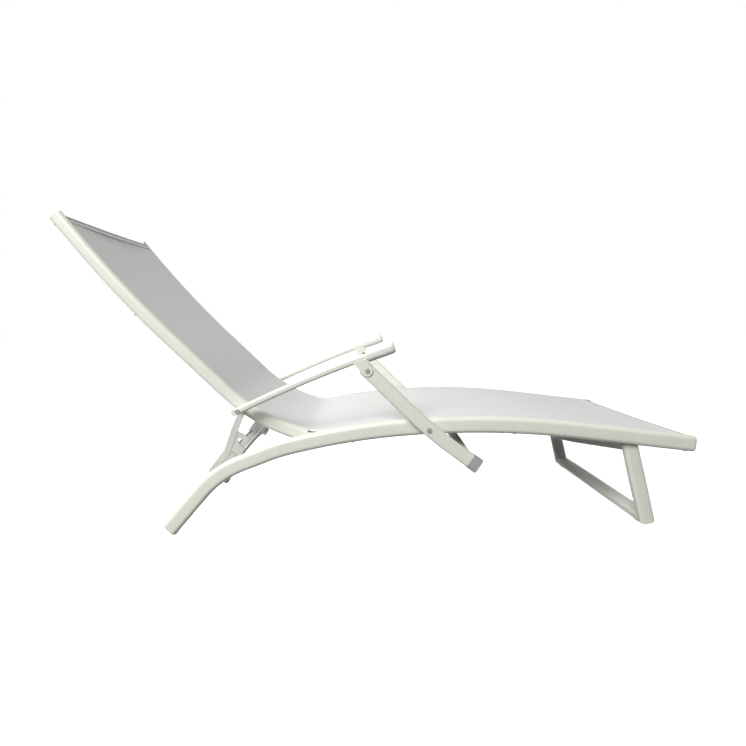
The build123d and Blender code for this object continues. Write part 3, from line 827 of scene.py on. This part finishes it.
class OBJECT_OT_lounger_sling(bpy.types.Operator):
    """Stretch the sling from the head bar to the foot end, its sides rolled round the spline rods"""

    bl_idname = "object.lounger_sling"
    bl_label = "Sling"

    def execute(self, context):
        sizes = context.scene.lounger_sizes
        line = sling_line()
        rows = len(line) - 1
        columns = len(side_profile(1.0)) - 1
        bpy.ops.object.select_all(action="DESELECT")
        bpy.ops.mesh.primitive_grid_add(x_subdivisions=columns, y_subdivisions=rows, size=1.0)
        sling = context.active_object
        sling.name = "sling"
        mesh = sling.data
        mesh.name = "sling"
        uv = mesh.uv_layers.active or mesh.uv_layers.new()
        uv.name = "weave"
        lengths = [0.0]
        for a, b in zip(line, line[1:]):
            lengths.append(lengths[-1] + (b - a).length)
        halves = [half_width_at(point.x) for point in line]
        profiles = [side_profile(half) for half in halves]
        girth = {}
        for vertex in mesh.vertices:
            row = round((vertex.co.y + 0.5) * rows)
            column = round((vertex.co.x + 0.5) * columns)
            point = line[row]
            tangent = (line[min(rows, row + 1)] - line[max(0, row - 1)]).normalized()
            normal = Vector((-tangent.y, tangent.x))
            y, rise, across = profiles[row][column]
            share = min(1.0, abs(y) / (halves[row] - HEM_RAMP))
            ends = min(1.0, min(lengths[row], lengths[-1] - lengths[row]) / SAG_RAMP)
            held = END_SAG_SHARE + (1 - END_SAG_SHARE) * ends
            sag = sizes.sling_sag / MM * (1 - share * share) * held
            spot = point + normal * (rise - sag)
            girth[vertex.index] = (across, lengths[row])
            vertex.co = Vector((spot.x * MM, y * MM, spot.y * MM))
        for loop in mesh.loops:
            u, v = girth[loop.vertex_index]
            uv.data[loop.index].uv = (u * MM, v * MM)
        if mesh.polygons[len(mesh.polygons) // 2].normal.z < 0:
            mesh.flip_normals()
        thick = sling.modifiers.new("thickness", "SOLIDIFY")
        thick.thickness = sizes.sling_thickness
        thick.offset = 0.0
        apply_all(sling)
        bpy.ops.object.shade_smooth_by_angle(angle=CLOTH_SMOOTH)
        give_finish(sling, "sling_fabric")
        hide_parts("seat_sling", "back_sling")
        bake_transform(sling)
        return {"FINISHED"}


def place_from_end(from_head, distance):
    """Point, tangent and normal of the sling at a distance from one of its ends, in millimetres."""
    line = sling_line()
    if not from_head:
        line = line[::-1]
    travelled = 0.0
    for a, b in zip(line, line[1:]):
        step = (b - a).length
        if travelled + step >= distance:
            tangent = (b - a).normalized()
            normal = Vector((-tangent.y, tangent.x))
            return a.lerp(b, (distance - travelled) / step), tangent, normal if normal.y > 0 else -normal
        travelled += step


# The sewn hem with its rows of stitches, and a dark strip over the cut end that turns over it: painted shade for
# the shadowed gap between the sling and the end bar. The powers set how sharply their edges turn down.
HEM_BAND = 26.0
HEM_LIFT = 1.1
HEM_EDGE = 0.5
HEM_EDGE_POWER = 6
HEM_SAG_SHARE = 0.42
SHADE_STRIP_BAND = 9.0
SHADE_STRIP_OVER = 1.5
SHADE_STRIP_LIFT = 1.9
SHADE_STRIP_TURN = 3.0
SHADE_STRIP_TURN_POWER = 4
BAND_THICKNESS = 0.9
BAND_COLUMNS = 48
BAND_ROWS = 8
STITCH_ROWS = (-6.0, 8.0)
STITCH_PITCH_SHARE = 1.35
STITCH_RISE = 0.65
STITCH_HALF_WIDTH = 0.45
STITCH_HALF_HEIGHT = 0.35


class OBJECT_OT_lounger_hems(bpy.types.Operator):
    """Fold a hem over each end of the sling, stitch it in two rows and lay a dark strip of painted shade over the
    end
    """

    bl_idname = "object.lounger_hems"
    bl_label = "End hems"

    def execute(self, context):
        sag = HEM_SAG_SHARE * context.scene.lounger_sizes.sling_sag / MM
        for name, body, from_head, half in (
            ("head", "back", True, SLING_HALF_BACK - HEM_RAMP),
            ("foot", "base", False, SLING_HALF_SEAT - HEM_RAMP),
        ):
            centre, turn = self.end_frame(from_head, HEM_BAND / 2, sag)

            def hem(across, along):
                return HEM_LIFT - HEM_EDGE * abs(2 * along) ** HEM_EDGE_POWER + sag * across**2

            self.band(context, f"hem_{name}", body, centre, turn, (half, HEM_BAND), hem, "sling_fabric")
            self.stitch(context, name, body, centre, turn, half, sag)
            # Painted shade: the dark strip over the end stands for the shadowed gap between the sling and the end
            # bar.
            centre, turn = self.end_frame(from_head, SHADE_STRIP_BAND / 2 - SHADE_STRIP_OVER, sag)

            def shade_strip(across, along):
                return SHADE_STRIP_LIFT - SHADE_STRIP_TURN * max(0.0, -2 * along) ** SHADE_STRIP_TURN_POWER + sag * across**2

            self.band(context, f"tape_{name}", body, centre, turn, (half, SHADE_STRIP_BAND), shade_strip, "painted_end_shade")
        return {"FINISHED"}

    def end_frame(self, from_head, distance, sag):
        """Middle of a band at the end of the sling, and its axes: across, away from the end, up."""
        point, tangent, normal = place_from_end(from_head, distance)
        along = Vector((tangent.x, 0, tangent.y))
        up = Vector((normal.x, 0, normal.y))
        turn = Matrix((along.cross(up), along, up)).transposed()
        return Vector((point.x, 0, point.y)) - up * sag, turn

    def band(self, context, name, body, centre, turn, size, lift, finish):
        """A strip along the sling's end. Its height comes from the shares across and along it."""
        half, width = size
        bpy.ops.object.select_all(action="DESELECT")
        bpy.ops.mesh.primitive_grid_add(x_subdivisions=BAND_COLUMNS, y_subdivisions=BAND_ROWS, size=1.0)
        band = context.active_object
        band.name = name
        band.data.name = name
        layer = band.data.uv_layers.active or band.data.uv_layers.new()
        layer.name = "weave"
        for vertex in band.data.vertices:
            across = vertex.co.x * 2
            along = vertex.co.y
            place = Vector((across * half, along * width, lift(across, along)))
            vertex.co = (centre + turn @ place) * MM
        for loop in band.data.loops:
            u, v = layer.data[loop.index].uv
            layer.data[loop.index].uv = ((u - 0.5) * 2 * half * MM, v * width * MM)
        if band.data.polygons[0].normal.z < 0:
            band.data.flip_normals()
        thick = band.modifiers.new("thickness", "SOLIDIFY")
        thick.thickness = BAND_THICKNESS * MM
        thick.offset = 0.0
        apply_all(band)
        bpy.ops.object.shade_smooth_by_angle(angle=CLOTH_SMOOTH)
        give_finish(band, finish)
        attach(band, body)

    def stitch(self, context, name, body, centre, turn, half, sag):
        """Rows of short raised threads along the hem, joined as one piece."""
        length = context.scene.lounger_sizes.stitch_length / MM
        bpy.ops.object.select_all(action="DESELECT")
        bpy.ops.mesh.primitive_uv_sphere_add(segments=6, ring_count=4, radius=1.0)
        one = context.active_object
        thread = one.data.copy()
        bpy.data.objects.remove(one)
        merged = bmesh.new()
        count = int(2 * half / (length * STITCH_PITCH_SHARE))
        for row in STITCH_ROWS:
            for i in range(count):
                share = 2 * (i + 0.5) / count - 1
                start = len(merged.verts)
                merged.from_mesh(thread)
                merged.verts.ensure_lookup_table()
                for vertex in merged.verts[start:]:
                    x, y, z = vertex.co
                    across = share * half + x * length / 2
                    along = row + y * STITCH_HALF_WIDTH
                    lift = HEM_LIFT + STITCH_RISE + sag * share * share + z * STITCH_HALF_HEIGHT
                    vertex.co = (centre + turn @ Vector((across, along, lift))) * MM
        bmesh.ops.recalc_face_normals(merged, faces=merged.faces)
        mesh = bpy.data.meshes.new(f"stitches_{name}")
        merged.to_mesh(mesh)
        merged.free()
        piece = mesh_object(f"stitches_{name}", mesh, "spline_plastic")
        only(piece)
        bpy.ops.object.shade_smooth()
        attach(piece, body)


# Hand grips in metres: a block with round sides, a rounder tip in front and a crisp heel behind. The rings
# are where it is cut to swell.
GRIP_SLOPE = math.radians(18.7)
GRIP_SIZE = (0.082, 0.036, 0.033)
GRIP_ROUND = 0.0135
GRIP_ROUND_STEPS = 9
TIP_ROUND = 0.006
TIP_STEPS = 6
HEEL_ROUND = 0.0022
HEEL_STEPS = 3
END_FACE_SHARE = 0.49
GRIP_RINGS = (-0.03, -0.02, -0.01, 0.0, 0.01, 0.02, 0.03)
RING_REACH = 0.0002
GRIP_SMOOTH = math.radians(35)


def pick_edges(piece, test):
    """In edit mode, select only the edges whose two ends pass a test."""
    bpy.ops.mesh.select_all(action="DESELECT")
    shape = bmesh.from_edit_mesh(piece.data)
    for edge in shape.edges:
        edge.select = test(edge.verts[0].co, edge.verts[1].co)
    shape.select_flush_mode()
    bmesh.update_edit_mesh(piece.data)


def pick_verts(piece, test):
    """In edit mode, select only the corners that pass a test."""
    bpy.ops.mesh.select_all(action="DESELECT")
    shape = bmesh.from_edit_mesh(piece.data)
    for vertex in shape.verts:
        vertex.select = test(vertex.co)
    shape.select_flush_mode()
    bmesh.update_edit_mesh(piece.data)


class OBJECT_OT_lounger_grips(bpy.types.Operator):
    """Shape a rounded, slightly swollen hand grip on the front of each armrest"""

    bl_idname = "object.lounger_grips"
    bl_label = "Hand grips"

    def execute(self, context):
        length, _, height = GRIP_SIZE
        bpy.ops.object.select_all(action="DESELECT")
        bpy.ops.mesh.primitive_cube_add(size=1.0)
        grip = context.active_object
        bpy.ops.object.mode_set(mode="EDIT")
        bpy.ops.mesh.select_mode(type="EDGE")
        bpy.ops.mesh.select_all(action="SELECT")
        bpy.ops.transform.resize(value=GRIP_SIZE, center_override=(0, 0, 0))
        end = END_FACE_SHARE * length
        pick_edges(grip, lambda a, b: abs(a.x - b.x) > length / 2)
        bpy.ops.mesh.bevel(offset=GRIP_ROUND, segments=GRIP_ROUND_STEPS, profile=0.5)
        pick_edges(grip, lambda a, b: a.x > end and b.x > end)
        bpy.ops.mesh.bevel(offset=TIP_ROUND, segments=TIP_STEPS, profile=0.5)
        pick_edges(grip, lambda a, b: a.x < -end and b.x < -end)
        bpy.ops.mesh.bevel(offset=HEEL_ROUND, segments=HEEL_STEPS, profile=0.5)
        for ring in GRIP_RINGS:
            bpy.ops.mesh.select_all(action="SELECT")
            bpy.ops.mesh.bisect(plane_co=(ring, 0, 0), plane_no=(1, 0, 0))
        swell = context.scene.lounger_sizes.grip_swell
        for ring in GRIP_RINGS:
            share = 1 - (ring / (length / 2)) ** 2
            pick_verts(grip, lambda v: abs(v.x - ring) < RING_REACH)
            factor = 1 + share * swell / height
            bpy.ops.transform.resize(value=(1, factor, factor), center_override=(ring, 0, 0))
        bpy.ops.mesh.select_all(action="SELECT")
        bpy.ops.mesh.normals_make_consistent(inside=False)
        bpy.ops.object.mode_set(mode="OBJECT")
        only(grip)
        bpy.ops.object.shade_smooth_by_angle(angle=GRIP_SMOOTH)
        shape = grip.data
        bpy.data.objects.remove(grip)
        for side in ("right", "left"):
            low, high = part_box(f"arm_grip_{side}")
            middle = (Vector(low) + Vector(high)) / 2
            mesh = shape.copy()
            mesh.transform(Matrix.Translation(middle) @ Matrix.Rotation(-GRIP_SLOPE, 4, "Y"))
            piece = mesh_object(f"grip_{side}", mesh, "grip_plastic")
            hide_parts(f"arm_grip_{side}")
            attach(piece, f"arm_{side}")
        return {"FINISHED"}


# Stage, in metres and watts. Each lamp has its place, the spot it faces, its width and its power: the key
# lamp from the front left, one that lights the head end, and a faint one behind.
LAMPS = (
    ("lamp_key", (-2.3, -4.0, 3.9), (0.0, 0.0, 0.3), 3.0, 380.0),
    ("lamp_left", (-2.6, 0.3, 2.6), (0.0, 0.0, 0.3), 2.4, 60.0),
    ("lamp_back", (-0.4, 2.6, 2.4), (0.0, 0.0, 0.4), 2.0, 6.0),
)
FLOOR_WIDTH = 30.0
FLOOR_GLOW = 0.87
FLOOR_DULL = 0.04
WORLD_LIGHT = 0.14
CAMERA_PLACE = (HINGE_X * MM + 0.119, -1.6275, 0.608)
CAMERA_ROLL = math.radians(0.81)
LENS = 22.25
SENSOR = 36.0
LENS_SHIFT = (0.0214, -0.071)


class OBJECT_OT_lounger_stage(bpy.types.Operator):
    """Set the floor, the lamps and the camera"""

    bl_idname = "object.lounger_stage"
    bl_label = "Stage"

    def execute(self, context):
        scene = context.scene
        bpy.ops.object.select_all(action="DESELECT")
        bpy.ops.mesh.primitive_plane_add(size=FLOOR_WIDTH, location=(0, 0, 0))
        floor = context.active_object
        floor.name = "floor"
        floor.data.materials.append(floor_material(scene.lounger_colours.floor))
        for name, place, aim, size, power in LAMPS:
            light = bpy.data.lights.new(name, "AREA")
            light.size = size
            light.energy = power
            lamp = bpy.data.objects.new(name, light)
            scene.collection.objects.link(lamp)
            lamp.location = place
            lamp.rotation_euler = (Vector(aim) - Vector(place)).to_track_quat("-Z", "Y").to_euler()
        scene.world = studio_world()
        camera_data = bpy.data.cameras.new("camera")
        camera_data.lens = LENS
        camera_data.sensor_width = SENSOR
        camera_data.shift_x, camera_data.shift_y = LENS_SHIFT
        camera = bpy.data.objects.new("camera", camera_data)
        scene.collection.objects.link(camera)
        camera.location = CAMERA_PLACE
        camera.rotation_euler = (math.pi / 2, CAMERA_ROLL, 0)
        scene.camera = camera
        scene.view_settings.view_transform = "Standard"
        return {"FINISHED"}


def studio_world():
    # Studio room: white where it is seen, dim in the light that it gives.
    world = bpy.data.worlds.new("studio")
    world.use_nodes = True
    tree = world.node_tree
    tree.nodes.clear()
    strength = add_node(
        tree,
        "ShaderNodeMapRange",
        {"To Min": WORLD_LIGHT, "To Max": 1.0},
        {"Value": seen_rays(tree)},
    )
    light = add_node(
        tree,
        "ShaderNodeBackground",
        {"Color": (1, 1, 1, 1)},
        {"Strength": strength.outputs["Result"]},
    )
    add_node(tree, "ShaderNodeOutputWorld", links={"Surface": light.outputs[0]})
    return world


def seen_rays(tree):
    """1 for camera, glossy and transmission rays, 0 for the rest."""
    rays = add_node(tree, "ShaderNodeLightPath")
    first = add_node(
        tree,
        "ShaderNodeMath",
        {"operation": "MAXIMUM"},
        {0: rays.outputs["Is Camera Ray"], 1: rays.outputs["Is Glossy Ray"]},
    )
    second = add_node(
        tree,
        "ShaderNodeMath",
        {"operation": "MAXIMUM"},
        {0: first.outputs[0], 1: rays.outputs["Is Transmission Ray"]},
    )
    return second.outputs[0]


def floor_material(hex_value):
    # Studio floor: white where the camera or a reflection sees it, duller for the light it throws up.
    material, tree = new_material("studio_floor")
    base = colour(hex_value)
    white = add_node(tree, "ShaderNodeBsdfDiffuse", {"Color": base})
    glow = add_node(tree, "ShaderNodeEmission", {"Color": base, "Strength": FLOOR_GLOW})
    both = add_node(tree, "ShaderNodeAddShader", links={0: white.outputs[0], 1: glow.outputs[0]})
    dull = add_node(tree, "ShaderNodeBsdfDiffuse", {"Color": (FLOOR_DULL, FLOOR_DULL, FLOOR_DULL, 1)})
    mix = add_node(
        tree,
        "ShaderNodeMixShader",
        links={0: seen_rays(tree), 1: dull.outputs[0], 2: both.outputs[0]},
    )
    add_node(tree, "ShaderNodeOutputMaterial", links={"Surface": mix.outputs[0]})
    return material


class VIEW3D_PT_lounger(bpy.types.Panel):
    """Buttons for the lounger's pieces"""

    bl_label = "Sling sun lounger"
    bl_idname = "VIEW3D_PT_lounger"
    bl_space_type = "VIEW_3D"
    bl_region_type = "UI"
    bl_category = "Lounger"

    def draw(self, context):
        for group in (context.scene.lounger_sizes, context.scene.lounger_colours):
            for name in group.__annotations__:
                self.layout.prop(group, name)
        for operator in OPERATORS:
            self.layout.operator(operator.bl_idname)


OPERATORS = (
    OBJECT_OT_lounger_stage,
    OBJECT_OT_lounger_finishes,
    OBJECT_OT_lounger_rails,
    OBJECT_OT_lounger_caps,
    OBJECT_OT_lounger_leg,
    OBJECT_OT_lounger_sling,
    OBJECT_OT_lounger_hems,
    OBJECT_OT_lounger_grips,
)
CLASSES = (LoungerSizes, LoungerColours, *OPERATORS, VIEW3D_PT_lounger)


def register():
    for item in CLASSES:
        bpy.utils.register_class(item)
    bpy.types.Scene.lounger_sizes = PointerProperty(type=LoungerSizes)
    bpy.types.Scene.lounger_colours = PointerProperty(type=LoungerColours)


def unregister():
    del bpy.types.Scene.lounger_colours
    del bpy.types.Scene.lounger_sizes
    for item in reversed(CLASSES):
        bpy.utils.unregister_class(item)


def main():
    register()
    bpy.ops.object.lounger_stage()
    bpy.ops.object.lounger_finishes()
    bpy.ops.object.lounger_rails()
    bpy.ops.object.lounger_caps()
    bpy.ops.object.lounger_leg()
    bpy.ops.object.lounger_sling()
    bpy.ops.object.lounger_hems()
    bpy.ops.object.lounger_grips()


if __name__ == "__main__":
    main()
